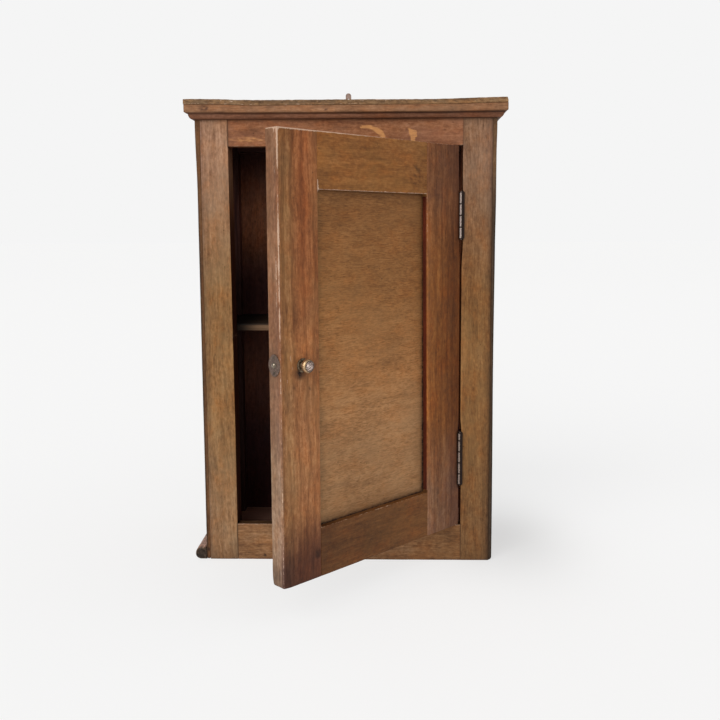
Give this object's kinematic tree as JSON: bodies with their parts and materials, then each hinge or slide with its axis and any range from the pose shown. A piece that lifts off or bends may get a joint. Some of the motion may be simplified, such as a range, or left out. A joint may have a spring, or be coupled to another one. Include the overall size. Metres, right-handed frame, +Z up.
{
  "type": "bobbin box",
  "caption": "Small wall-hung wooden cupboard for bobbins: nailed board case with a face frame, crown moulding and shelf, and a framed panel door on butt hinges with a brass knob and ball catch.",
  "frame": {"origin": "centre of the case's base, in the plane of its underside, half way between the face of the frame and the back of the back panel", "axes": "+X to the right seen from the front, front of the cupboard faces -Y, +Z up"},
  "size_m": [0.3705, 0.3582, 0.578],
  "materials": {
    "wood_case": "old varnished softwood, brown with a grey-green tint, worn on the arrises",
    "wood_rail": "old varnish, reddish and mottled",
    "wood_door": "old brown varnish, pale where the arrises are worn",
    "wood_panel": "thin old varnish over a fine wavy figure",
    "wood_inside": "dark bare wood",
    "wood_batten": "dark weathered wood",
    "brass_old": "aged brass, dull, bright on the rims",
    "hinge_metal": "worn plated hinge metal, pinkish silver along the barrel",
    "iron_dark": "dark rusted iron"
  },
  "bodies": {
    "cabinet": {"stile_left": "wood_case", "stile_right": "wood_case", "frame_rail_top": "wood_rail", "frame_rail_bottom": "wood_case", "side_board_left": "wood_case", "side_board_right": "wood_case", "back_post_left": "wood_inside", "back_post_right": "wood_inside", "back_rail": "wood_inside", "back_panel": "wood_inside", "top_board": "wood_case", "bottom_board": "wood_inside", "shelf": "wood_inside", "shelf_cleat_left": "wood_inside", "shelf_cleat_right": "wood_inside", "crown_front": "wood_case", "crown_left": "wood_case", "crown_right": "wood_case", "base_batten": "wood_batten", "hanger_strap": "brass_old", "hanger_screws": "iron_dark", "side_nails": "iron_dark", "top_nails": "iron_dark", "back_nails": "iron_dark", "batten_nails": "iron_dark", "hinge_upper_case_leaf": "hinge_metal", "hinge_upper_pin": "hinge_metal", "hinge_upper_case_screws": "iron_dark", "hinge_lower_case_leaf": "hinge_metal", "hinge_lower_pin": "hinge_metal", "hinge_lower_case_screws": "iron_dark"},
    "door": {"door_stile_free": "wood_door", "door_stile_hinge": "wood_door", "door_rail_top": "wood_door", "door_rail_bottom": "wood_door", "door_panel": "wood_panel", "knob_head": "brass_old", "knob_rosette": "brass_old", "knob_stud": "iron_dark", "knob_nut": "iron_dark", "catch_barrel": "brass_old", "catch_plate": "brass_old", "catch_pins": "iron_dark", "catch_spring": "iron_dark", "hinge_upper_door_leaf": "hinge_metal", "hinge_upper_door_screws": "iron_dark", "hinge_lower_door_leaf": "hinge_metal", "hinge_lower_door_screws": "iron_dark"},
    "catch_ball": {"catch_ball": "brass_old"}
  },
  "joints": [
    {"name": "door_hinge", "type": "hinge", "parent": "cabinet", "child": "door", "pos_m": [0.1331, -0.0853, 0.27], "axis": [0, 0, 1], "range_deg": [-45.7, 132.3]},
    {"name": "catch_ball_slide", "type": "slide", "parent": "door", "child": "catch_ball", "axis": [0.6984, 0.7157, 0], "range_m": [0, 0.0022], "stiffness_N_per_m": 1000, "springref_m": -0.001, "deforming": ["catch_spring"]}
  ]
}
